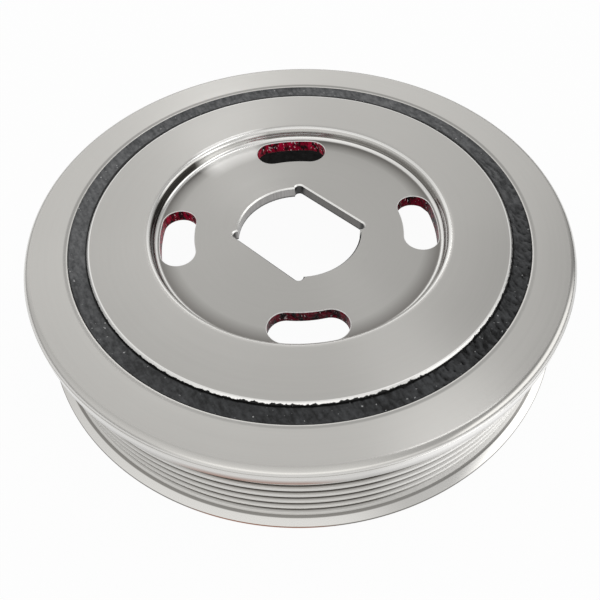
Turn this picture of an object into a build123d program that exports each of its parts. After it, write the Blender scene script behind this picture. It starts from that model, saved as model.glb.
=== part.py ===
"""Harmonic balancer: a cast hub, a bonded rubber ring and a grooved inertia ring.

The frame's +Z axis is the crankshaft's axis and points to the front of the engine.
Z = 0 is the rear face of the inertia ring, and the hub's slots lie on the X and Y axes.
All sizes are in millimetres and degrees.
"""

import os
from math import acos, degrees, radians, tan

from build123d import *

# Inertia ring: a thick iron ring whose outside is the belt track
ring_width = 31.0  # rear face to front face
bore_lead_width = 1.1  # shallow lead-in on the front face, round the bore
bore_lead_depth = 0.2
rear_bore_chamfer = 1.0
ring_wall = 9.5  # bore to the plain land, which is as high as the crests of the ribs
front_flange_rise = 2.75  # land to the rim of the front flange
front_flange_thickness = 5.5
front_flange_round = 2.3  # front outer corner
flange_edge_break = 0.4  # chamfer on the front flange's rear corner
land_fillet = 0.8  # where the land meets the front flange
rear_lip_rise = 1.2  # how far the last groove's flank runs on past the crests
rear_flange_rise = 3.25  # land to the rim of the rear flange
rear_flange_edge = 0.95  # rear face to the foot of the rear flange's bevel
rear_face_chamfer = 0.5

# Belt grooves: V-ribbed, PK section
groove_count = 5
groove_pitch = 3.56
groove_angle = 40.0  # included angle of a groove
groove_mouth = 2.5  # groove width at the crests
groove_root = 0.7  # groove width at its flat root
groove_setback = 13.1  # front face to the centre of the first groove
crest_round = 0.25

# Rubber ring: bonded between the hub and the inertia ring
rubber_thickness = 5.25  # outside of the hub to the bore of the inertia ring
rubber_front_drop = 0.5  # front face of the metal to the rubber
rubber_rear_drop = 0.5  # rear rim of the hub to the rubber
rubber_dish = 0.5  # hollow of the rubber's free ends

# Hub: a shallow cup, open to the rear, with a recess in its front face
hub_diameter = 121.0  # carries the rubber
hub_edge_chamfer = 0.5
hub_rear_inset = 2.0  # rear face of the ring to the rear rim of the skirt
recess_diameter = 84.6  # wall of the recess that takes the crankshaft bolt's washer
recess_depth = 3.7
recess_rim_round = 2.0
recess_floor_fillet = 1.5
web_thickness = 4.0  # floor of the recess to the as-cast back of the web
skirt_wall = 6.0  # at the rear rim
skirt_draft = 3.0  # casting draft inside the skirt
skirt_fillet = 5.0  # skirt to web
skirt_rim_chamfer = 0.6
seat_diameter = 52.0  # machined seat behind the web, round the hole
seat_depth = 0.3

# Centre hole: a double D that fits over two flats on the crankshaft
hole_diameter = 35.8  # the two round sides
hole_across_flats = 29.2
hole_turn = 43.0  # direction that the flats face, from the X axis
relief_radius = 1.4  # broached corner reliefs, tangent to the flats
relief_reach = 17.9  # hub axis to the centre of a relief
hole_edge_chamfer = 0.4

# Slots: curved windows through the web
slot_count = 4
slot_circle_radius = 35.6  # hub axis to a slot's centre line
slot_width = 10.0
slot_half_angle = 9.7  # from a slot's middle to the centre of its round end

# Places that follow from the sizes above
front_z = ring_width
flange_back_z = front_z - front_flange_thickness
recess_floor_z = front_z - recess_depth
web_back_z = recess_floor_z - web_thickness
hub_rear_z = hub_rear_inset
hub_radius = hub_diameter / 2
recess_radius = recess_diameter / 2
seat_radius = seat_diameter / 2
skirt_rear_radius = hub_radius - skirt_wall
skirt_web_radius = skirt_rear_radius - (web_back_z - hub_rear_z) * tan(radians(skirt_draft))
bore_radius = hub_radius + rubber_thickness
land_radius = bore_radius + ring_wall
front_flange_radius = land_radius + front_flange_rise
rear_flange_radius = land_radius + rear_flange_rise
lip_radius = land_radius + rear_lip_rise
flank_slope = tan(radians(groove_angle / 2))  # how far a flank drops for each unit of radius
groove_depth = (groove_mouth - groove_root) / 2 / flank_slope
groove_heights = [front_z - groove_setback - i * groove_pitch for i in range(groove_count)]
last_mouth_z = groove_heights[-1] - groove_mouth / 2
lip_z = last_mouth_z - rear_lip_rise * flank_slope
rubber_front_z = front_z - rubber_front_drop
rubber_rear_z = hub_rear_z + rubber_rear_drop
rubber_middle = (hub_radius + bore_radius) / 2
relief_offset = hole_across_flats / 2 - relief_radius  # axis to a relief's centre, square to the flat
relief_angle = degrees(acos(relief_offset / relief_reach))


def corner(section, radius, height):
    """The vertex of a turned section that lies nearest to a radius and a height."""
    return section.vertices().sort_by_distance((radius, height, 0))[0]


# Inertia ring: one turned section, with the belt grooves cut into its land
with BuildPart() as inertia_ring:
    with BuildSketch(Plane.XZ) as ring_section:
        with BuildLine():
            Polyline(
                (bore_radius, 0),
                (rear_flange_radius, 0),
                (rear_flange_radius, rear_flange_edge),
                (lip_radius, lip_z),
                (land_radius, last_mouth_z),
                (land_radius, flange_back_z),
                (front_flange_radius, flange_back_z),
                (front_flange_radius, front_z),
                (bore_radius + bore_lead_width, front_z),
                (bore_radius, front_z - bore_lead_depth),
                close=True,
            )
        make_face()
        fillet(corner(ring_section, front_flange_radius, front_z), front_flange_round)
        fillet(corner(ring_section, land_radius, flange_back_z), land_fillet)
        chamfer(corner(ring_section, front_flange_radius, flange_back_z), flange_edge_break)
        chamfer(corner(ring_section, rear_flange_radius, 0), rear_face_chamfer)
        chamfer(corner(ring_section, bore_radius, 0), rear_bore_chamfer)
        with Locations([(land_radius, height) for height in groove_heights]):
            Polygon(
                (0, groove_mouth / 2),
                (0, -groove_mouth / 2),
                (-groove_depth, -groove_root / 2),
                (-groove_depth, groove_root / 2),
                align=None,
                mode=Mode.SUBTRACT,
            )
        for upper_z, lower_z in zip(groove_heights, groove_heights[1:]):
            fillet(corner(ring_section, land_radius, upper_z - groove_mouth / 2), crest_round)
            fillet(corner(ring_section, land_radius, lower_z + groove_mouth / 2), crest_round)
        fillet(corner(ring_section, land_radius, groove_heights[0] + groove_mouth / 2), crest_round)
    revolve(axis=Axis.Z)
inertia_ring.part.label = "inertia_ring"

# Rubber ring: fills the gap between the hub and the inertia ring, with hollow free ends
with BuildPart() as rubber_ring:
    with BuildSketch(Plane.XZ):
        with BuildLine():
            Line((hub_radius, rubber_rear_z), (hub_radius, rubber_front_z))
            ThreePointArc(
                (hub_radius, rubber_front_z),
                (rubber_middle, rubber_front_z - rubber_dish),
                (bore_radius, rubber_front_z),
            )
            Line((bore_radius, rubber_front_z), (bore_radius, rubber_rear_z))
            ThreePointArc(
                (bore_radius, rubber_rear_z),
                (rubber_middle, rubber_rear_z + rubber_dish),
                (hub_radius, rubber_rear_z),
            )
        make_face()
    revolve(axis=Axis.Z)
rubber_ring.part.label = "rubber_ring"

# Hub: a turned cup, then the slots and the centre hole cut through its web
with BuildPart() as hub:
    with BuildSketch(Plane.XZ) as hub_section:
        with BuildLine():
            Polyline(
                (0, recess_floor_z),
                (recess_radius, recess_floor_z),
                (recess_radius, front_z),
                (hub_radius, front_z),
                (hub_radius, hub_rear_z),
                (skirt_rear_radius, hub_rear_z),
                (skirt_web_radius, web_back_z),
                (seat_radius, web_back_z),
                (seat_radius, web_back_z + seat_depth),
                (0, web_back_z + seat_depth),
                close=True,
            )
        make_face()
        fillet(corner(hub_section, recess_radius, front_z), recess_rim_round)
        fillet(corner(hub_section, recess_radius, recess_floor_z), recess_floor_fillet)
        fillet(corner(hub_section, skirt_web_radius, web_back_z), skirt_fillet)
        chamfer(corner(hub_section, hub_radius, front_z), hub_edge_chamfer)
        chamfer(hub_section.vertices().group_by(Axis.Y)[0], skirt_rim_chamfer)
    revolve(axis=Axis.Z)

    with BuildSketch(Plane.XY.offset(recess_floor_z)):
        with PolarLocations(0, slot_count):
            SlotArc(
                CenterArc((0, 0), slot_circle_radius, -slot_half_angle, 2 * slot_half_angle),
                slot_width,
            )
    extrude(amount=-web_thickness, mode=Mode.SUBTRACT)

    with BuildSketch(Plane.XY.offset(recess_floor_z)) as hole_outline:
        Circle(hole_diameter / 2)
        Rectangle(hole_across_flats, hole_diameter, rotation=hole_turn, mode=Mode.INTERSECT)
        for flat_direction in (hole_turn, hole_turn + 180):
            first_relief = flat_direction - relief_angle
            with PolarLocations(relief_reach, 2, first_relief, 2 * relief_angle, endpoint=True):
                Circle(relief_radius)
    extrude(amount=-web_thickness, mode=Mode.SUBTRACT)

    with BuildSketch(Plane.XY.offset(recess_floor_z)):
        add(hole_outline.sketch)
        offset(amount=hole_edge_chamfer)
    extrude(amount=-hole_edge_chamfer, taper=45, mode=Mode.SUBTRACT)
hub.part.label = "hub"

os.makedirs("parts", exist_ok=True)
export_step(inertia_ring.part, "parts/inertia_ring.step")
export_step(rubber_ring.part, "parts/rubber_ring.step")
export_step(hub.part, "parts/hub.step")
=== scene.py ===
"""Harmonic balancer: turned iron, torn rubber and red paint, on a pale studio floor.

The pieces stand in the CAD model's frame, in metres: +Z is the crankshaft's axis and points to
the front face, and the hub's slots lie on the X and Y axes. Sizes here are in millimetres, and
MM turns them into metres. Left, right, near and far are as seen from the camera, which stands on
the -Y side.
"""

from math import acos, atan2, cos, hypot, pi, radians, sin, tan

import bmesh
import bpy
from mathutils import Matrix, Vector


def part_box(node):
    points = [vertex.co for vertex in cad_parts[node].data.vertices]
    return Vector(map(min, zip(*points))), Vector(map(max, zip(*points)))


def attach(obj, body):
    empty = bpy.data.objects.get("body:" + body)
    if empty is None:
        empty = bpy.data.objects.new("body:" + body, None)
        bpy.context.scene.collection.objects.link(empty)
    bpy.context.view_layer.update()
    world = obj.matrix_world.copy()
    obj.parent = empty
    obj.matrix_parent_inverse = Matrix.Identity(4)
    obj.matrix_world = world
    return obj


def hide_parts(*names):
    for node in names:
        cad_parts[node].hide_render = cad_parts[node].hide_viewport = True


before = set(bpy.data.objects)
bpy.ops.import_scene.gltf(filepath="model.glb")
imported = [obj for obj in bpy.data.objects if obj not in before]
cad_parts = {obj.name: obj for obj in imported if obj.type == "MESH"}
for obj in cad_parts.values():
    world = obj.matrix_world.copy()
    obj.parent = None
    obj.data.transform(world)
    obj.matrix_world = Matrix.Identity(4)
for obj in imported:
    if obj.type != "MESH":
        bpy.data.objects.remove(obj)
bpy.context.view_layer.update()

MM = 0.001


# ---------------------------------------------------------------- sizes
ring_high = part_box("inertia_ring")[1]
hub_low, hub_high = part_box("hub")
rubber_low, rubber_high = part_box("rubber_ring")

# Inertia ring
front_z = ring_high.z / MM
ring_bore_radius = rubber_high.x / MM
rear_flange_radius = ring_high.x / MM
rear_flange_edge = 0.95  # rear face to the foot of the rear flange's bevel
rear_face_chamfer = 0.5
rear_bore_chamfer = 1.0
front_flange_radius = 78.0
front_flange_round = 2.3
flange_back_z = front_z - 5.5
flange_edge_break = 0.4
land_radius = 75.25
land_fillet = 0.8
rear_lip_radius = land_radius + 1.2
bore_lead_width = 1.1
bore_lead_depth = 0.2

# Belt grooves
groove_count = 5
groove_pitch = 3.56
groove_mouth = 2.5
groove_root = 0.7
groove_angle = 40.0
first_groove_z = front_z - 13.1
crest_round = 0.25
flank_slope = tan(radians(groove_angle / 2))
groove_depth = (groove_mouth - groove_root) / 2 / flank_slope
last_mouth_z = first_groove_z - (groove_count - 1) * groove_pitch - groove_mouth / 2
lip_z = last_mouth_z - (rear_lip_radius - land_radius) * flank_slope

# Hub
hub_radius = hub_high.x / MM
hub_rear_z = hub_low.z / MM
hub_edge_chamfer = 0.5
recess_radius = 42.3
recess_rim_round = 2.0
recess_floor_fillet = 1.5
floor_z = front_z - 3.7
web_back_z = floor_z - 4.0
seat_radius = 26.0
seat_depth = 0.3
skirt_rear_radius = hub_radius - 6.0
skirt_web_radius = skirt_rear_radius - (web_back_z - hub_rear_z) * tan(radians(3.0))
skirt_fillet = 5.0
skirt_rim_chamfer = 0.6

# Slots and centre hole
slot_count = 4
slot_circle_radius = 35.6
slot_width = 10.0
slot_half_angle = radians(9.7)
slot_edge_break = 0.2
hole_radius = 17.9
hole_flat = 14.6  # hub axis to a flat
hole_turn = radians(43)
hole_edge_break = 0.4
relief_radius = 1.4
relief_reach = 17.9

# Rubber ring
rubber_front_z = rubber_high.z / MM
rubber_rear_z = rubber_low.z / MM

# Fineness of the meshes
ring_segments = 320
rubber_segments = 1100
fine_round = 0.1  # takes the knife edge off a turned corner
support = 0.3  # from a rounding to the loop that keeps the flat face beside it flat

# Where painted shade and painted reflections lie on the inertia ring's metal, as heights above its
# rear face
groove_shade_low = 2.3
lip_shade_line = 2.0, 2.2
lip_reflection = 2.4, 5.6
bevel_reflection = 1.0, 1.9

# Marks on both metals, as turns from the X axis: where the grooves' painted shade is weaker, where
# a painted reflection lightens the ring's side, where rust lies, and where a painted highlight
# patch lies in the hub's recess
groove_shade_gap = radians(-66), radians(-36)
reflecting_side = radians(-68), radians(-38)
rusty_side = radians(-110), radians(-93)
highlight_side = radians(108), radians(128)

# Tones, and pairs of tones that a pattern runs between
iron_tone = (0.63, 0.62, 0.6)
# A painted highlight tone, for the hub's edges and a patch in its recess
highlight_tone = (0.95, 0.945, 0.93)
# A painted reflection tone, lighter than the turned metal
reflection_tone = (0.92, 0.91, 0.89)
# Painted shade tones: for the ring's grooves and lower edges, the hub's recess wall and the floor
# at the recess's foot
ring_shade_tone = (0.085, 0.075, 0.065)
wall_shade_tone = (0.05, 0.047, 0.042)
foot_shade_tone = (0.19, 0.18, 0.17)
rust_tone = (0.28, 0.12, 0.07)
# Painted shade for the centre hole's reliefs and heel
hole_shade_tone = (0.03, 0.03, 0.03)
broached_tones = (0.27, 0.265, 0.26), (0.42, 0.41, 0.4)
# Painted shade for the hole's flats and top edge, and a painted highlight for that edge on the far
# side
flat_shade_tone = (0.15, 0.145, 0.14)
hole_edge_shade_tone = (0.08, 0.08, 0.08)
far_edge_highlight_tone = (0.96, 0.955, 0.94)
# Crimson from painted shade in the hollows to the lit paint, a painted shade tone, and tones for
# painted glints and a painted highlight
red_tones = (0.010, 0.0001, 0.001), (0.58, 0.003, 0.048)
shaded_red_tone = (0.006, 0.0001, 0.0006)
glint_tone = (0.95, 0.80, 0.82)
catchlight_tone = (0.9, 0.89, 0.87)
black_tones = (0.003, 0.003, 0.003), (0.010, 0.0095, 0.009)
# The rubber's tones, and lighter ones for a painted sheen
dim_rubber_tones = (0.004, 0.0045, 0.005), (0.046, 0.048, 0.051)
sheen_rubber_tones = (0.056, 0.058, 0.061), (0.150, 0.152, 0.155)
# Painted shade along the rubber's seams
seam_shade_tone = (0.003, 0.003, 0.003)
crumb_tone = (0.4, 0.4, 0.4)


# ---------------------------------------------------------------- node helpers
class Signal:
    """A node's output. Arithmetic on it adds Math nodes to its tree."""

    def __init__(self, socket):
        self.socket = socket
        self.tree = socket.id_data

    def __add__(self, other):
        return calc("ADD", self, other)

    def __sub__(self, other):
        return calc("SUBTRACT", self, other)

    def __rsub__(self, other):
        return calc("SUBTRACT", other, self)

    def __mul__(self, other):
        return calc("MULTIPLY", self, other)

    def __truediv__(self, other):
        return calc("DIVIDE", self, other)

    def above(self, limit):
        return calc("GREATER_THAN", self, limit)

    def below(self, limit):
        return calc("LESS_THAN", self, limit)


def wire(node, inputs):
    """Sets a node's inputs, by name or number, to a plain value or to a signal."""
    for key, value in inputs.items():
        if isinstance(value, Signal):
            value.tree.links.new(value.socket, node.inputs[key])
        else:
            node.inputs[key].default_value = value


def add(tree, kind, inputs=None, output=0, **settings):
    """Adds a node with its settings and inputs, and gives one of its outputs."""
    node = tree.nodes.new(kind)
    for key, value in settings.items():
        setattr(node, key, value)
    wire(node, inputs or {})
    return Signal(node.outputs[output])


def calc(operation, *values):
    """A Math node's result. At least one of the values is a signal."""
    tree = next(value.tree for value in values if isinstance(value, Signal))
    return add(tree, "ShaderNodeMath", dict(enumerate(values)), operation=operation)


def largest(first, *others):
    """The largest of the values. The first of them is a signal."""
    for other in others:
        first = calc("MAXIMUM", first, other)
    return first


def spread(value, low, high, to_low=0.0, to_high=1.0):
    """Carries a value from one range to another, and holds it at the range's ends."""
    return add(value.tree, "ShaderNodeMapRange", {0: value, 1: low, 2: high, 3: to_low, 4: to_high})


def between(value, low, high, soft):
    """1 where a value lies between two limits, with soft ends outside them."""
    return spread(value, low - soft, low) * spread(value, high, high + soft, 1.0, 0.0)


def joined(x, y, z=0.0):
    """A vector whose first part at least is a signal."""
    return add(x.tree, "ShaderNodeCombineXYZ", {0: x, 1: y, 2: z})


def split(vector):
    """The three parts of a vector."""
    node = add(vector.tree, "ShaderNodeSeparateXYZ", {0: vector}).socket.node
    return [Signal(socket) for socket in node.outputs]


def flat_length(x, y):
    """The distance from the Z axis."""
    return add(
        x.tree, "ShaderNodeVectorMath", {0: joined(x, y)}, output="Value", operation="LENGTH")


def speckle(vector, scale, detail=3.0, roughness=0.5):
    """Noise between 0 and 1."""
    return add(vector.tree, "ShaderNodeTexNoise", {
        "Vector": vector, "Scale": scale, "Detail": detail, "Roughness": roughness})


def slanted(x, y, fine, coarse):
    """Stretches noise into streaks that slant across the rubber."""
    return joined((y * 0.5 + x) * fine, (x * -0.5 + y) * coarse)


def blend(amount, low, high):
    """A blend of two colours, each a signal or three plain numbers."""
    low, high = (c if isinstance(c, Signal) else (*c, 1.0) for c in (low, high))
    return add(
        amount.tree, "ShaderNodeMix", {0: amount, 6: low, 7: high}, output=2, data_type="RGBA")


def choose(index, *values):
    """The value whose place in the list is the index."""
    switch = index.tree.nodes.new("GeometryNodeIndexSwitch")
    switch.data_type = "FLOAT"
    while len(switch.index_switch_items) < len(values):
        switch.index_switch_items.new()
    wire(switch, dict(enumerate((index, *values))))
    return Signal(switch.outputs[0])


# ---------------------------------------------------------------- pieces and their trees
def new_piece(name, mesh):
    piece = bpy.data.objects.new(name, mesh)
    bpy.context.scene.collection.objects.link(piece)
    return piece


def new_tree(name, sizes):
    """A Geometry Nodes tree, and its inputs as signals: the geometry and the sizes.
    sizes gives the names for each kind of input."""
    tree = bpy.data.node_groups.new(name, "GeometryNodeTree")
    tree.interface.new_socket("Geometry", in_out="OUTPUT", socket_type="NodeSocketGeometry")
    for kind, names in {"Geometry": ("Geometry",), **sizes}.items():
        for size in names:
            tree.interface.new_socket(size, in_out="INPUT", socket_type="NodeSocket" + kind)
    given = tree.nodes.new("NodeGroupInput")
    return tree, {socket.name: Signal(socket) for socket in given.outputs if socket.name}


def give_back(shape, material):
    """Makes a shape real, sets its material and gives it to its tree's output."""
    real = add(shape.tree, "GeometryNodeRealizeInstances", {"Geometry": shape})
    finished = add(
        shape.tree, "GeometryNodeSetMaterial", {"Geometry": real, "Material": material})
    wire(shape.tree.nodes.new("NodeGroupOutput"), {0: finished})


def grow(piece, tree, values):
    """Runs a tree on a piece with its inputs set, and keeps what comes out."""
    modifier = piece.modifiers.new("shape", "NODES")
    modifier.node_group = tree
    for item in tree.interface.items_tree:
        if item.item_type == "SOCKET" and item.in_out == "INPUT" and item.name in values:
            modifier[item.identifier] = values[item.name]
    apply_modifiers(piece)


def apply_modifiers(piece):
    """Keeps what a piece's modifiers make as its plain mesh."""
    piece.update_tag()
    bpy.context.view_layer.update()
    shape = piece.evaluated_get(bpy.context.evaluated_depsgraph_get())
    mesh = bpy.data.meshes.new_from_object(shape)
    piece.modifiers.clear()
    rough_mesh = piece.data
    piece.data = mesh
    bpy.data.meshes.remove(rough_mesh)
    mesh.name = piece.name


def crisp(piece, angle):
    """Smooth faces, with a sharp edge wherever two faces meet at more than the angle."""
    bm = bmesh.new()
    bm.from_mesh(piece.data)
    bmesh.ops.remove_doubles(bm, verts=bm.verts, dist=0.002 * MM)
    for face in bm.faces:
        face.smooth = True
    for edge in bm.edges:
        edge.smooth = edge.calc_face_angle(pi) < radians(angle)
    bm.to_mesh(piece.data)
    bm.free()


def turned_section(name, corners, **marks):
    """A closed section in the XZ plane: (radius, height, rounding) for each corner.
    marks gives further numbers for each corner, by name."""
    mesh = bpy.data.meshes.new(name)
    points = [(radius * MM, 0, height * MM) for radius, height, rounding in corners]
    edges = [(i, (i + 1) % len(points)) for i in range(len(points))]
    mesh.from_pydata(points, edges, [])
    rounds = [rounding * MM for radius, height, rounding in corners]
    for mark, values in {"order": range(len(corners)), "rounding": rounds, **marks}.items():
        attribute = mesh.attributes.new(mark, "FLOAT", "POINT")
        attribute.data.foreach_set("value", [float(value) for value in values])
    return new_piece(name, mesh)


def mark_of(tree, name):
    """The numbers that a section's corners carry under a name."""
    return add(
        tree, "GeometryNodeInputNamedAttribute", {"Name": name}, output="Attribute",
        data_type="FLOAT")


def turn_section(section, segments):
    """Joins a section's corners in their order, rounds them by their own radii and turns the
    section about the Z axis."""
    tree = section.tree
    path_radius = 10 * MM
    points = add(tree, "GeometryNodeMeshToPoints", {"Mesh": section})
    profile = add(tree, "GeometryNodePointsToCurves", {
        "Points": points, "Weight": mark_of(tree, "order")})
    loop = add(tree, "GeometryNodeSetSplineCyclic", {"Geometry": profile, "Cyclic": True})
    rounded = add(tree, "GeometryNodeFilletCurve", {
        "Curve": loop, "Count": 5, "Radius": mark_of(tree, "rounding"), "Limit Radius": True,
    }, mode="POLY")
    x, y, z = split(add(tree, "GeometryNodeInputPosition"))
    flat = add(tree, "GeometryNodeSetPosition", {
        "Geometry": rounded, "Position": joined(x - path_radius, z * -1.0)})
    path = add(tree, "GeometryNodeCurvePrimitiveCircle", {
        "Resolution": segments, "Radius": path_radius})
    turned = add(tree, "GeometryNodeCurveToMesh", {"Curve": path, "Profile Curve": flat})
    return add(tree, "GeometryNodeSetShadeSmooth", {"Geometry": turned, "Shade Smooth": True})


# ---------------------------------------------------------------- finishes
def new_finish(name):
    """A material, its shader, and the place of a point on the piece, in millimetres."""
    finish = bpy.data.materials.new(name)
    finish.use_nodes = True
    tree = finish.node_tree
    place = add(tree, "ShaderNodeVectorMath", {
        0: add(tree, "ShaderNodeTexCoord", output="Object"), "Scale": 1 / MM}, operation="SCALE")
    return finish, tree.nodes["Principled BSDF"], place


def emboss(shader, height, strength, distance):
    """Bumps that stand up by a distance in millimetres."""
    wire(shader, {"Normal": add(height.tree, "ShaderNodeBump", {
        "Height": height, "Strength": strength, "Distance": distance * MM})})


def turned_iron(name, faces):
    """Turned metal: fine marks that run round the axis, so that highlights spread into fans.
    faces gives each front face's outer radius, its share of the iron's tone and its roughness."""
    finish, shader, place = new_finish(name)
    x, y, z = split(place)
    radius = flat_length(x, y)
    turn = calc("ARCTAN2", y, x)
    marks = speckle(joined(radius * 9.0, z * 9.0, turn * 2.5), 1.0, 2.0)
    bands = speckle(joined(radius * 0.9, z * 0.9, turn * 0.6), 1.0, 3.0)
    cloud = speckle(place, 0.06)
    edge, share, rough = faces[0]
    for next_edge, next_share, next_rough in faces[1:]:
        share = spread(radius, edge - 0.2, edge + 0.2, share, next_share)
        rough = spread(radius, edge - 0.2, edge + 0.2, rough, next_rough)
        edge = next_edge
    mottle = marks * 0.35 + (bands * 0.4 + cloud * 0.25)
    share = share * spread(mottle, 0.3, 0.7, 0.97, 1.03)
    grey = add(
        place.tree, "ShaderNodeVectorMath", {0: iron_tone, "Scale": share}, operation="SCALE")
    round_way = add(
        place.tree, "ShaderNodeVectorMath", {0: joined(y * -1.0, x)}, operation="NORMALIZE")
    tangent = add(
        place.tree, "ShaderNodeVectorTransform", {0: round_way},
        vector_type="VECTOR", convert_from="OBJECT", convert_to="WORLD")
    wire(shader, {
        "Metallic": 1.0, "Anisotropic": 0.75, "Anisotropic Rotation": 0.25,
        "Roughness": rough + (bands * 0.1 + -0.05), "Tangent": tangent})
    emboss(shader, marks, 0.12, 0.03)
    return finish, shader, grey, radius, turn, (x, y, z)


def hub_iron():
    """The hub's machined metal: a satin face and a duller recess. Painted shade darkens the recess
    wall, most on the left, and the floor at the recess's foot;
    painted highlights light the recess's rim and foot and the hub's outer edge, and a painted
    highlight patch lies at the far left."""
    finish, shader, grey, radius, turn, (x, y, z) = turned_iron("hub iron", (
        (recess_radius - 1.0, 0.75, 0.36),
        (recess_radius + 1.5, 0.95, 0.2),
        (hub_radius + 1.0, 0.87, 0.33),
    ))
    in_recess = radius.below(recess_radius + recess_rim_round + 0.2)
    highlit = between(turn, *highlight_side, 0.15)

    # Painted shade on the recess floor near its foot, and on the recess wall, darkest on the left
    # and lifted where the highlight patch lies
    low_wall = z.below(floor_z + 1.0)
    foot_shade = spread(radius, recess_radius - 5.7, recess_radius - 1.3, 0.0, 0.85)
    foot_shade = foot_shade * low_wall * (1.0 - highlit)
    wall = between(z, floor_z + 0.8, front_z - 0.85, 0.15)
    leftwards = x * -1.0 / radius
    right_wall_shade = spread(leftwards, -0.65, -0.25, 0.0, 0.35)
    painted_shade = wall * in_recess * spread(leftwards, 0.3, 0.75, right_wall_shade, 0.96) * (1.0 - highlit * 0.9)
    # A painted highlight patch on the recess floor at the far left
    highlight_patch = spread(radius, recess_radius - 8.3, recess_radius - 1.8, 0.0, 0.85)
    highlight_patch = highlit * highlight_patch * in_recess

    # Painted highlight lines on the recess's rim and foot, and on the hub's outer edge, a little
    # wider on the near side
    rim = between(z, front_z - 0.5, front_z - 0.15, 0.07)
    foot = between(z, floor_z + 0.12, floor_z + 0.6, 0.1)
    round_highlights = largest(rim, foot) * in_recess * 0.95
    edge_radius = hub_radius - hub_edge_chamfer - 0.3
    nearer = spread(y / radius, 0.25, -0.1, 0.0, 0.12)
    edge = spread(radius + nearer, edge_radius, edge_radius + 0.15) * z.above(front_z - 2.0)

    tone = blend(painted_shade, blend(foot_shade, grey, foot_shade_tone), wall_shade_tone)
    tone = blend(largest(round_highlights, edge), blend(highlight_patch, tone, highlight_tone), highlight_tone)
    wire(shader, {"Base Color": tone})
    return finish


def ring_iron():
    """The inertia ring's metal, with painted shade in the grooves, in a fine line at the rear lip,
    under the flange and along its lower edge, painted reflections that lighten the lip, the rear
    bevel and the near right side, and a little rust at the near left."""
    finish, shader, grey, radius, turn, (x, y, z) = turned_iron("ring iron", (
        # The bore's edge carries a painted highlight and the lead beside it painted shade
        (ring_bore_radius + 0.25, 1.3, 0.33),
        (ring_bore_radius + bore_lead_width, 0.64, 0.33),
        (front_flange_radius - 2.0, 1.0, 0.33),
        (90.0, 1.0, 0.17),
    ))
    # Painted shade in the grooves' roots, weaker at the near right, in a fine line at the rear lip,
    # along the lower edge and under the front flange
    grooves = between(z, groove_shade_low, first_groove_z + 1.3, 0.3)
    roots = between(radius, land_radius - 5.25, land_radius - 0.75, 0.4)
    less_shaded = between(turn, *groove_shade_gap, 0.25)
    line = between(z, *lip_shade_line, 0.1)
    line = line * between(radius, rear_lip_radius - 0.65, rear_lip_radius + 0.35, 0.1)
    foot = between(z, -1.0, rear_flange_edge + 0.03, 0.06)
    chamfer_radius = rear_flange_radius - rear_face_chamfer
    foot = foot * spread(radius, chamfer_radius - 0.2, chamfer_radius)
    under = spread(z, flange_back_z + flange_edge_break, flange_back_z + 2.5, 0.45, 0.0)
    under = under * radius.above(front_flange_radius - 0.6) * z.above(flange_back_z - 0.5)
    painted_shade = largest(grooves * roots * (1.0 - less_shaded * 0.75), line * 0.6, foot * 0.9, under)

    # Painted reflections lighten the rear lip, the rear bevel and the near right side
    lip = between(z, *lip_reflection, 0.2) * radius.above(land_radius - 0.05)
    bevel = between(z, *bevel_reflection, 0.1) * radius.above(rear_lip_radius + 0.05)
    side = between(turn, *reflecting_side, 0.25)
    side = side * radius.above(land_radius - 0.65) * z.below(front_z - 1.2)
    painted_reflection = largest(largest(lip, bevel) * 0.6, side)

    rusty = between(turn, *rusty_side, 0.12) * largest(under, foot * 0.5)
    rust = calc("MINIMUM", rusty * 2.0, 0.9)
    tone = blend(painted_shade, blend(painted_reflection, grey, reflection_tone), ring_shade_tone)
    wire(shader, {"Base Color": blend(rust, tone, rust_tone)})
    return finish


def broached_iron():
    """The wall of the centre hole: bare metal with marks along the broach's stroke, with painted
    shade in its reliefs, at its heel, on its flats and along its top edge, and a painted highlight
    on that edge on the far side."""
    finish, shader, place = new_finish("broached iron")
    x, y, z = split(place)
    marks = speckle(joined(x * 2.5, y * 2.5, z * 0.15), 1.0, 2.0)
    across = calc("ABSOLUTE", x * cos(hole_turn) + y * sin(hole_turn))
    # Painted shade in the reliefs, at the heel, on the flats and along the top edge; a painted
    # highlight on that edge on the far side
    in_relief = spread(flat_length(x, y), hole_radius + 0.25, hole_radius + 1.0, 0.0, 0.9)
    heel = spread(z, web_back_z + 0.5, web_back_z + 1.1, 0.85, 0.0)
    edge = z.above(floor_z - hole_edge_break - 0.02)
    far_side = spread(y, -4.0, -2.0)
    tone = blend(spread(marks, 0.3, 0.7), *broached_tones)
    tone = blend(across.above(hole_flat - 0.15), tone, flat_shade_tone)
    tone = blend(heel, blend(in_relief, tone, hole_shade_tone), hole_shade_tone)
    tone = blend(edge, tone, hole_edge_shade_tone)
    wire(shader, {
        "Base Color": blend(edge * far_side, tone, far_edge_highlight_tone), "Metallic": 1.0,
        "Roughness": spread(marks, 0.3, 0.7, 0.3, 0.45)})
    emboss(shader, marks, 0.4, 0.05)
    return finish


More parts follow.
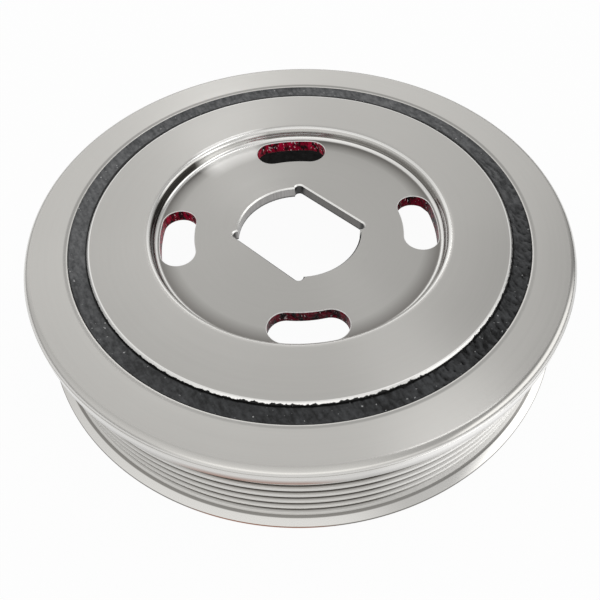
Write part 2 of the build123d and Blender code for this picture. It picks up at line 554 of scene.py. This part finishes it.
def red_paint():
    """Thick crimson paint on the slots' walls, with painted shade in its hollows and bright painted
    glints along its runs.
    Painted shade darkens it towards the near slot and the right one, and a painted highlight lies
    along the top edge of each wall."""
    finish, shader, place = new_finish("crimson paint")
    x, y, z = split(place)
    runs_at = joined(x * 0.7, y * 0.7, z * 0.42 + x * 0.26)
    runs = speckle(runs_at, 1.0, 3.0, 0.6)
    glints = speckle(runs_at, 2.3, 2.0, 0.5)
    # Painted shade, darker towards the near slot and the right one
    shaded_slots = spread(x - y, -12.0, 22.0)
    # Painted shade in the hollows, where the runs are low
    tone = blend(spread(runs, 0.4, 0.6), *red_tones)
    tone = blend(shaded_slots * 0.62, tone, shaded_red_tone)
    # Painted glints along the runs
    tone = blend(spread(shaded_slots * -0.03 + glints, 0.63, 0.67), tone, glint_tone)
    # A painted highlight along the top edge of each wall
    edge_catchlight = z.above(floor_z - slot_edge_break - 0.02)
    wire(shader, {
        "Base Color": blend(edge_catchlight, tone, catchlight_tone), "Roughness": 0.3,
        "Specular IOR Level": 0.05})
    emboss(shader, runs, 0.9, 0.6)
    return finish


def black_paint():
    """Rough black paint on the casting, behind the web and inside the skirt."""
    finish, shader, place = new_finish("black casting paint")
    grain = speckle(place, 0.7, 4.0, 0.6)
    pits = spread(speckle(place, 0.16, 2.0), 0.3, 0.7)
    wire(shader, {
        "Base Color": blend(pits, *black_tones),
        "Roughness": spread(grain, 0.3, 0.7, 0.55, 0.75), "Specular IOR Level": 0.12})
    emboss(shader, grain, 0.7, 0.4)
    return finish


def torn_rubber():
    """Matt black rubber with slanted streaks and small bright crumbs. A painted sheen lightens it
    at the far left, and painted shade darkens it along its seams."""
    finish, shader, place = new_finish("torn rubber")
    x, y, z = split(place)
    radius = flat_length(x, y)
    far = y / radius
    grain = speckle(place, 0.9, 4.0, 0.6)
    patches = speckle(place, 0.12)
    crumbs = spread(speckle(place, 1.1, 1.0), 0.72, 0.78)
    streaks = speckle(slanted(x, y, 0.8, 0.26), 1.0)
    mottle = spread(streaks * 0.45 + (grain * 0.3 + patches * 0.25), 0.41, 0.6)
    # Dim tones at the near right, and a painted sheen that lightens the rubber towards the far left
    dim_side = blend(mottle, *dim_rubber_tones)
    sheen_side = blend(mottle, *sheen_rubber_tones)
    towards_sheen = (y * 0.94 - x * 0.34) / radius
    tone = blend(spread(towards_sheen, -0.75, 0.35), dim_side, sheen_side)

    # Painted shade along the seam at the hub, and on the near side along the seam at the ring
    away = radius - spread(far, 0.0, 0.6, 0.0, 0.8)
    hub_seam = spread(away, hub_radius + 0.35, hub_radius + 0.65, 0.93, 0.0)
    ring_seam = spread(radius, ring_bore_radius - 0.45, ring_bore_radius - 0.2, 0.0, 0.9)
    seams = largest(hub_seam, spread(far, 0.2, -0.3) * ring_seam)
    tone = blend(crumbs, blend(seams, tone, seam_shade_tone), crumb_tone)
    wire(shader, {"Base Color": tone, "Roughness": 0.6, "Specular IOR Level": 0.4})
    emboss(shader, grain, 0.6, 0.3)
    return finish


outer_iron = ring_iron()
inner_iron = hub_iron()
hole_iron = broached_iron()
paint = red_paint()
black = black_paint()
rubber = torn_rubber()


# ---------------------------------------------------------------- inertia ring
def belt_ring_tree():
    """Joins the corners of the belt grooves to the section's corners, then turns the whole."""
    tree, size = new_tree("Belt ring", {
        "Int": ("Grooves", "Segments"),
        "Float": (
            "Pitch", "First Groove", "Mouth", "Root", "Depth", "Land Radius", "Crest Round",
            "Place"),
        "Material": ("Material",)})
    total = size["Grooves"] * 4.0
    number = add(tree, "GeometryNodeInputIndex")
    corner = calc("MODULO", number, 4.0)
    groove = calc("FLOOR", (number + 0.5) / 4.0)
    half_mouth = size["Mouth"] / 2.0
    half_root = size["Root"] / 2.0
    aside = choose(corner, half_mouth, half_root, half_root * -1.0, half_mouth * -1.0)
    inwards = choose(corner, 0.0, size["Depth"], size["Depth"], 0.0)
    centre = size["First Groove"] - groove * size["Pitch"]
    corners = add(tree, "GeometryNodeSetPosition", {
        "Geometry": add(tree, "GeometryNodeMeshLine", {"Count": total}),
        "Position": joined(size["Land Radius"] - inwards, 0.0, centre + aside)})
    # All groove corners fit in the order between one corner of the section and the next. The
    # last flank runs on to the lip, so its corner stays sharp.
    order = size["Place"] + number / total * 0.9
    crest = choose(corner, size["Crest Round"], 0.0, 0.0, size["Crest Round"])
    for name, value in (("order", order), ("rounding", number.below(total - 1.0) * crest)):
        corners = add(tree, "GeometryNodeStoreNamedAttribute", {
            "Geometry": corners, "Name": name, "Value": value}, data_type="FLOAT")
    both = tree.nodes.new("GeometryNodeJoinGeometry")
    for part in (size["Geometry"], corners):
        wire(both, {0: part})
    give_back(turn_section(Signal(both.outputs[0]), size["Segments"]), size["Material"])
    return tree


rim_round = []
for degrees_down in (0, 8, 16, 24, 32, 40, 48, 55, 61, 66, 67.5, 72.5, 74, 79, 84, 90):
    tool_line = 0.12 if 67 < degrees_down < 73 else 0.0  # a fine line, left by the tool
    reach = front_flange_round - tool_line
    rim_round.append((
        front_flange_radius - front_flange_round + reach * sin(radians(degrees_down)),
        front_z - front_flange_round + reach * cos(radians(degrees_down)), 0))
to_land = (
    (ring_bore_radius, front_z - bore_lead_depth, fine_round),
    (ring_bore_radius + bore_lead_width, front_z, 0.3),
    *rim_round,
    (front_flange_radius, flange_back_z + flange_edge_break, fine_round),
    (front_flange_radius - flange_edge_break, flange_back_z, fine_round),
    (land_radius, flange_back_z, land_fillet),
)
inertia_ring = turned_section("inertia_ring_turned", (
    *to_land,
    (rear_lip_radius, lip_z, 0.15),
    (rear_flange_radius, rear_flange_edge, 0.15),
    (rear_flange_radius, rear_face_chamfer, fine_round),
    (rear_flange_radius - rear_face_chamfer, 0, fine_round),
    (ring_bore_radius + rear_bore_chamfer, 0, fine_round),
    (ring_bore_radius, rear_bore_chamfer, fine_round),
))
grow(inertia_ring, belt_ring_tree(), {
    "Grooves": groove_count, "Pitch": groove_pitch * MM, "First Groove": first_groove_z * MM,
    "Mouth": groove_mouth * MM, "Root": groove_root * MM, "Depth": groove_depth * MM,
    "Land Radius": land_radius * MM, "Crest Round": crest_round * MM,
    "Place": len(to_land) - 0.95, "Segments": ring_segments, "Material": outer_iron,
})
crisp(inertia_ring, 32)


# ---------------------------------------------------------------- hub
def turned_tree():
    """Turns a closed section about the Z axis."""
    tree, size = new_tree("Turned piece", {"Int": ("Segments",), "Material": ("Material",)})
    give_back(turn_section(size["Geometry"], size["Segments"]), size["Material"])
    return tree


def slots_tree():
    """Sets one slot cutter round the axis as many times as there are slots."""
    tree, size = new_tree("Slots", {"Int": ("Slots",), "Material": ("Material",)})
    centres = add(tree, "GeometryNodeMeshLine", {
        "Count": size["Slots"], "Offset": (0.0, 0.0, 0.0)})
    turn = add(tree, "GeometryNodeInputIndex") * (2 * pi) / size["Slots"]
    rotation = add(tree, "FunctionNodeEulerToRotation", {
        0: add(tree, "ShaderNodeCombineXYZ", {2: turn})})
    copies = add(tree, "GeometryNodeInstanceOnPoints", {
        "Points": centres, "Instance": size["Geometry"], "Rotation": rotation})
    give_back(copies, size["Material"])
    return tree


def cutter(name, outline, edge_break, finish):
    """A prism through the web that widens past both faces, so that it breaks the edges it cuts.
    outline gives the corners of the hole, grown by a distance."""
    reach = 1.0
    levels = (
        (floor_z + reach, edge_break + reach), (floor_z - edge_break, 0.0),
        (web_back_z + edge_break, 0.0), (web_back_z - reach, edge_break + reach),
    )
    bm = bmesh.new()
    rings = []
    for z, grown in levels:
        rings.append([bm.verts.new((x * MM, y * MM, z * MM)) for x, y in outline(grown)])
    count = len(rings[0])
    for upper, lower in zip(rings, rings[1:]):
        for i in range(count):
            j = (i + 1) % count
            bm.faces.new((upper[j], upper[i], lower[i], lower[j]))
    bm.faces.new(rings[0])
    bm.faces.new(reversed(rings[-1]))
    bmesh.ops.recalc_face_normals(bm, faces=bm.faces)
    mesh = bpy.data.meshes.new(name)
    bm.to_mesh(mesh)
    bm.free()
    mesh.materials.append(finish)
    return new_piece(name, mesh)


def arc(centre, radius, start, end, steps=24, with_ends=True):
    """Points along an arc, with its two ends or without them."""
    skipped = 0 if with_ends else 1
    turns = [start + (end - start) * i / steps for i in range(skipped, steps + 1 - skipped)]
    return [(centre[0] + radius * cos(turn), centre[1] + radius * sin(turn)) for turn in turns]


def slot_outline(grown):
    """A curved slot with round ends, across the +X axis."""
    half = slot_width / 2 + grown
    points = []
    for side in (1, -1):  # the outer arc and the cap after it, then the inner arc and its cap
        end = side * slot_half_angle
        cap_centre = (slot_circle_radius * cos(end), slot_circle_radius * sin(end))
        cap_start = end if side == 1 else end + pi
        points += arc((0, 0), slot_circle_radius + side * half, -end, end)
        points += arc(cap_centre, half, cap_start, cap_start + pi, with_ends=False)
    return points


def hole_outline(grown):
    """The double D: two flats, each with a round relief at both ends, and the round sides."""
    flat, outer, relief = hole_flat + grown, hole_radius + grown, relief_radius + grown
    aside = acos((hole_flat - relief_radius) / relief_reach)
    beyond = acos((outer ** 2 + relief_reach ** 2 - relief ** 2) / (2 * outer * relief_reach))
    meet = aside + beyond  # from a flat's normal to where its relief meets the round side
    relief_centre = (relief_reach * cos(aside), relief_reach * sin(aside))
    sweep = atan2(
        outer * sin(meet) - relief_centre[1], outer * cos(meet) - relief_centre[0])
    relief_arc = arc(relief_centre, relief, 0, sweep)
    half_flat = relief_centre[1] * 0.5
    outline = [(x, -y) for x, y in reversed(relief_arc)]
    outline += [(flat, -half_flat), (flat, 0.0), (flat, half_flat)] + relief_arc
    outline += arc((0, 0), outer, meet, pi - meet, steps=72, with_ends=False)
    return [
        (x * cos(normal) - y * sin(normal), x * sin(normal) + y * cos(normal))
        for normal in (hole_turn, hole_turn + pi) for x, y in outline]


start_radius = 6.0  # inside the hole, which cuts the section's start away
hub = turned_section("hub_turned", (
    (start_radius, floor_z, 0),
    (recess_radius - recess_floor_fillet - support, floor_z, 0),
    (recess_radius, floor_z, recess_floor_fillet),
    (recess_radius, front_z, recess_rim_round),
    (recess_radius + recess_rim_round + support, front_z, 0),
    (hub_radius - hub_edge_chamfer, front_z, 0.12),
    (hub_radius, front_z - hub_edge_chamfer, 0.12),
    (hub_radius, hub_rear_z + skirt_rim_chamfer, fine_round),
    (hub_radius - skirt_rim_chamfer, hub_rear_z, fine_round),
    (skirt_rear_radius + skirt_rim_chamfer, hub_rear_z, fine_round),
    (skirt_rear_radius, hub_rear_z + skirt_rim_chamfer, fine_round),
    (skirt_web_radius, web_back_z, skirt_fillet),
    (seat_radius + support, web_back_z, 0),
    (seat_radius, web_back_z, fine_round),
    (seat_radius, web_back_z + seat_depth, fine_round),
    (start_radius, web_back_z + seat_depth, 0),
))
grow(hub, turned_tree(), {"Segments": ring_segments, "Material": inner_iron})

slots = cutter("slots", slot_outline, slot_edge_break, paint)
grow(slots, slots_tree(), {"Slots": slot_count, "Material": paint})
hole = cutter("hole", hole_outline, hole_edge_break, hole_iron)
for tool in (slots, hole):
    cut = hub.modifiers.new(tool.name, "BOOLEAN")
    cut.object = tool
    cut.operation = "DIFFERENCE"
    cut.solver = "EXACT"
    cut.material_mode = "TRANSFER"
apply_modifiers(hub)
for tool in (slots, hole):
    bpy.data.objects.remove(tool)
crisp(hub, 32)

hub.data.materials.append(black)
black_slot = hub.data.materials.find(black.name)
for face in hub.data.polygons:
    middle = face.center / MM
    inside_cup = seat_radius + 0.05 < hypot(middle.x, middle.y) < skirt_rear_radius
    behind_web = hub_rear_z + skirt_rim_chamfer < middle.z < web_back_z + 0.05
    if inside_cup and behind_web and face.normal.z < 0.3:
        face.material_index = black_slot


# ---------------------------------------------------------------- rubber ring
def torn_ring_tree():
    """Turns the rubber's section, roughens and tears its front, and lays its flash on the hub."""
    tree, size = new_tree("Torn ring", {
        "Int": ("Segments",),
        "Float": (
            "Grain", "Lumps", "Tear Depth", "Flash Radius", "Climb", "Flash Height", "Highest",
            "Seed"),
        "Material": ("Material",)})
    place = add(tree, "GeometryNodeInputPosition")
    x, y, z = split(place)
    turn = calc("ARCTAN2", y, x)
    cosine, sine = calc("COSINE", turn), calc("SINE", turn)

    # Grain and lumps all round, and tears that are deepest at the near right
    seeded = add(tree, "ShaderNodeVectorMath", {0: place, 1: size["Seed"]}, operation="ADD")
    grain = speckle(seeded, 1300.0, 2.0, 0.6) - 0.5
    lumps = speckle(seeded, 330.0, 2.0, 0.5) - 0.5
    torn_here = spread(calc("COSINE", turn + 0.5) + lumps * 0.5, 0.55, 0.85)
    torn_down = spread(speckle(slanted(x, y, 800.0, 260.0), 1.0), 0.52, 0.36)
    tears = torn_down * spread(torn_here, 0.0, 1.0, 0.12, 1.0)
    lumpy = lumps * (size["Lumps"] * spread(torn_here, 0.0, 1.0, 0.8, 1.9))
    rise = grain * size["Grain"] + lumpy - tears * size["Tear Depth"]
    risen = calc("MINIMUM", rise * mark_of(tree, "rough") + z, size["Highest"])
    roughened = add(tree, "GeometryNodeSetPosition", {
        "Geometry": turn_section(size["Geometry"], size["Segments"]),
        "Position": joined(x, y, risen)})

    # On the near side the flash climbs the hub's wall and then its chamfer, with a ragged end
    flash = mark_of(tree, "flash")
    low_part = between(turn, radians(-63), radians(-49), 0.03)
    near = spread(sine, 0.15, -0.3, 0.0, 0.62) * (low_part * -0.6 + 1.0)
    near = near * spread(cosine, -0.85, -0.2, 0.72, 1.0)
    ragged = speckle(joined(cosine + size["Seed"], sine), 48.0, 3.0, 0.7) - 0.5
    reach = calc("MINIMUM", largest(ragged * (near * 3.2) + near, 0.02), 1.0)
    climbed = reach * flash
    up_wall = spread(climbed, 0.0, 0.4) * size["Climb"]
    up_chamfer = spread(climbed, 0.4, 1.0) * size["Climb"]
    thickness = spread(flash, 0.9, 1.0, 0.07 * MM, -0.03 * MM)
    new_radius = size["Flash Radius"] + (thickness - up_chamfer)
    new_height = size["Flash Height"] + (up_wall + up_chamfer)
    flashed = add(tree, "GeometryNodeSetPosition", {
        "Geometry": roughened, "Selection": flash.above(0.001),
        "Position": joined(cosine * new_radius, sine * new_radius, new_height)})
    give_back(flashed, size["Material"])
    return tree


def rubber_section():
    """The rubber's section, with a fine row of points across its front and a flash at the hub's
    edge. rough says how far a point may rise, and flash how far along the flash it lies."""
    outer, inner = ring_bore_radius, hub_radius
    middle = (outer + inner) / 2
    chamfer_foot = front_z - hub_edge_chamfer
    points = [
        (inner, rubber_rear_z, 0, 0),
        (middle, rubber_rear_z + 0.5, 0, 0),
        (outer, rubber_rear_z, 0, 0),
        (outer, rubber_front_z - 0.7, 0, 0),
    ]
    steps = 30
    for i in range(steps + 1):
        radius = outer - 0.02 - (outer - inner - 0.08) * i / steps
        dish = 0.25 * (1 - ((radius - middle) / (outer - middle)) ** 2)
        up_ring = 0.28 * max(0.0, 1 - (outer - radius) / 0.5)
        down_hub = 0.45 * max(0.0, 1 - (radius - inner) / 0.6)
        rough = min(1.0, (outer - radius) / 0.5, (radius - inner) / 0.4 + 0.2)
        points.append((radius, rubber_front_z - 0.1 - dish + (up_ring - down_hub), rough, 0))
    for along in (0.2, 0.4, 0.6, 0.75, 0.9, 1.0):
        points.append((inner + 0.05, chamfer_foot - 0.5 + along, 0, along))
    points.append((inner, chamfer_foot - 0.6, 0, 0))
    return turned_section(
        "rubber_ring_torn", [(radius, z, 0) for radius, z, rough, flash in points],
        rough=[point[2] for point in points], flash=[point[3] for point in points])


rubber_ring = rubber_section()
grow(rubber_ring, torn_ring_tree(), {
    "Segments": rubber_segments, "Grain": 0.22 * MM, "Lumps": 0.5 * MM, "Tear Depth": 0.7 * MM,
    "Flash Radius": hub_radius * MM, "Flash Height": (front_z - 1.02) * MM,
    "Climb": hub_edge_chamfer * MM, "Highest": (front_z - 0.05) * MM, "Seed": 7.0,
    "Material": rubber,
})
crisp(rubber_ring, 70)

for piece, node, slot in (
    (inertia_ring, "inertia_ring", "ring_iron"),
    (hub, "hub", "hub_iron"),
    (rubber_ring, "rubber_ring", "damper_rubber"),
):
    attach(piece, "root")
    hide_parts(node)


# ---------------------------------------------------------------- studio
def ray_kinds(tree):
    """1 for camera rays, and 1 for the rays that glossy and clear surfaces send out."""
    seen = tree.nodes.new("ShaderNodeLightPath").outputs
    return Signal(seen["Is Camera Ray"]), largest(
        Signal(seen["Is Glossy Ray"]), Signal(seen["Is Transmission Ray"]))


white = (1.0, 1.0, 1.0, 1.0)
warm_white = (1.0, 0.995, 0.98, 1.0)

floor_mesh = bpy.data.meshes.new("studio_floor")
floor_mesh.from_pydata([(-4, -4, 0), (4, -4, 0), (4, 4, 0), (-4, 4, 0)], [], [(0, 1, 2, 3)])
floor = new_piece("studio_floor", floor_mesh)
floor.location.z = -0.2 * MM
pale = bpy.data.materials.new("pale floor")
pale.use_nodes = True
tree = pale.node_tree
tree.nodes.clear()
direct, mirroring = ray_kinds(tree)
lit = add(tree, "ShaderNodeBsdfDiffuse", {"Color": (0.8, 0.8, 0.8, 1.0)})
glow = add(tree, "ShaderNodeEmission", {"Color": white, "Strength": 1.0})
floor_look = add(tree, "ShaderNodeMixShader", {
    0: largest(direct, mirroring) * 0.96, 1: lit, 2: glow})
wire(tree.nodes.new("ShaderNodeOutputMaterial"), {"Surface": floor_look})
floor_mesh.materials.append(pale)

world = bpy.data.worlds.new("studio")
world.use_nodes = True
bpy.context.scene.world = world
tree = world.node_tree
tree.nodes.clear()
direct, mirroring = ray_kinds(tree)
x, y, z = split(add(tree, "ShaderNodeTexCoord", output="Generated"))

# The room that the metal mirrors: a ceiling that is palest behind the object and dims to the
# right and to the far left, dim walls low down, a bright window low down in front, and a bright
# panel at the right
ceiling = largest(y * 0.95 + 0.22, y * -0.25 + 0.74) + x * -0.04
ceiling = ceiling - spread(x, 0.2, 0.5, 0.0, 0.2)
ceiling = ceiling - spread(x, 0.1, 0.35, 0.0, 0.1) * spread(y, 0.72, 0.55)
ceiling = ceiling - spread(x, 0.0, -0.22, 0.0, 0.1) * spread(y, 0.6, 0.75)
wall = spread(x, -0.2, 0.7, 0.38, 0.12)
height = spread(z, 0.05, 0.35)
window = spread(y, -0.55, -0.8) * spread(z, 0.56, 0.42)
panel = spread(x, 0.64, 0.74) * spread(y, 0.45, 0.3) * between(z, 0.2, 0.6, 0.12)
room = ceiling * height + wall * (1.0 - height) + (window * 0.5 + panel * 1.1)
soft = add(tree, "ShaderNodeBackground", {"Color": white, "Strength": 0.75})
mirrored = add(tree, "ShaderNodeBackground", {"Color": warm_white, "Strength": room})
bright = add(tree, "ShaderNodeBackground", {"Color": white, "Strength": 1.0})
unseen = add(tree, "ShaderNodeMixShader", {0: mirroring, 1: soft, 2: mirrored})
world_look = add(tree, "ShaderNodeMixShader", {0: direct, 1: unseen, 2: bright})
wire(tree.nodes.new("ShaderNodeOutputWorld"), {"Surface": world_look})


def softbox(name, place, aim, size, power):
    """A square lamp, all in metres and watts."""
    light = bpy.data.lights.new(name, "AREA")
    light.shape = "RECTANGLE"
    light.size = size
    light.size_y = size
    light.energy = power
    lamp = bpy.data.objects.new(name, light)
    lamp.location = place
    lamp.rotation_euler = (Vector(aim) - Vector(place)).to_track_quat("-Z", "Y").to_euler()
    bpy.context.scene.collection.objects.link(lamp)


softbox("ceiling_softbox", (0.38, 0.19, 1.03), (0, 0, 0.02), 0.3, 0.42)
softbox("rear_softbox", (-0.074, 0.87, 0.734), (-0.02, 0.03, 0.027), 0.14, 0.12)

# The camera: far enough for a long lens, looking down at the front face. Its place is worked out
# in units of about the ring's radius, from a point just below the front face.
unit = 78.48 * MM
middle_height = 29.55 * MM
tilt = 0.78775
roll = -0.03046
turn_back = -0.0512
distance = 2.54786
eye = Vector((0, -distance * cos(tilt), distance * sin(tilt)))
aim = Vector((-0.00324, -0.35895, 0))
forward = (aim - eye).normalized()
right = forward.cross(Vector((0, 0, 1))).normalized()
up = right.cross(forward)
rolled_right = cos(roll) * right + sin(roll) * up
rolled_up = cos(roll) * up - sin(roll) * right
pose = Matrix((rolled_right, rolled_up, -forward)).transposed().to_4x4()
pose.translation = eye * unit
to_frame = Matrix.Translation((0, 0, middle_height)) @ Matrix.Rotation(turn_back, 4, "Z")

camera_data = bpy.data.cameras.new("camera")
camera_data.sensor_width = 36
camera_data.lens = 41.1
camera_data.clip_start = 0.01
camera = bpy.data.objects.new("camera", camera_data)
camera.matrix_world = to_frame @ pose
bpy.context.scene.collection.objects.link(camera)
bpy.context.scene.camera = camera

bpy.context.scene.view_settings.view_transform = "Standard"
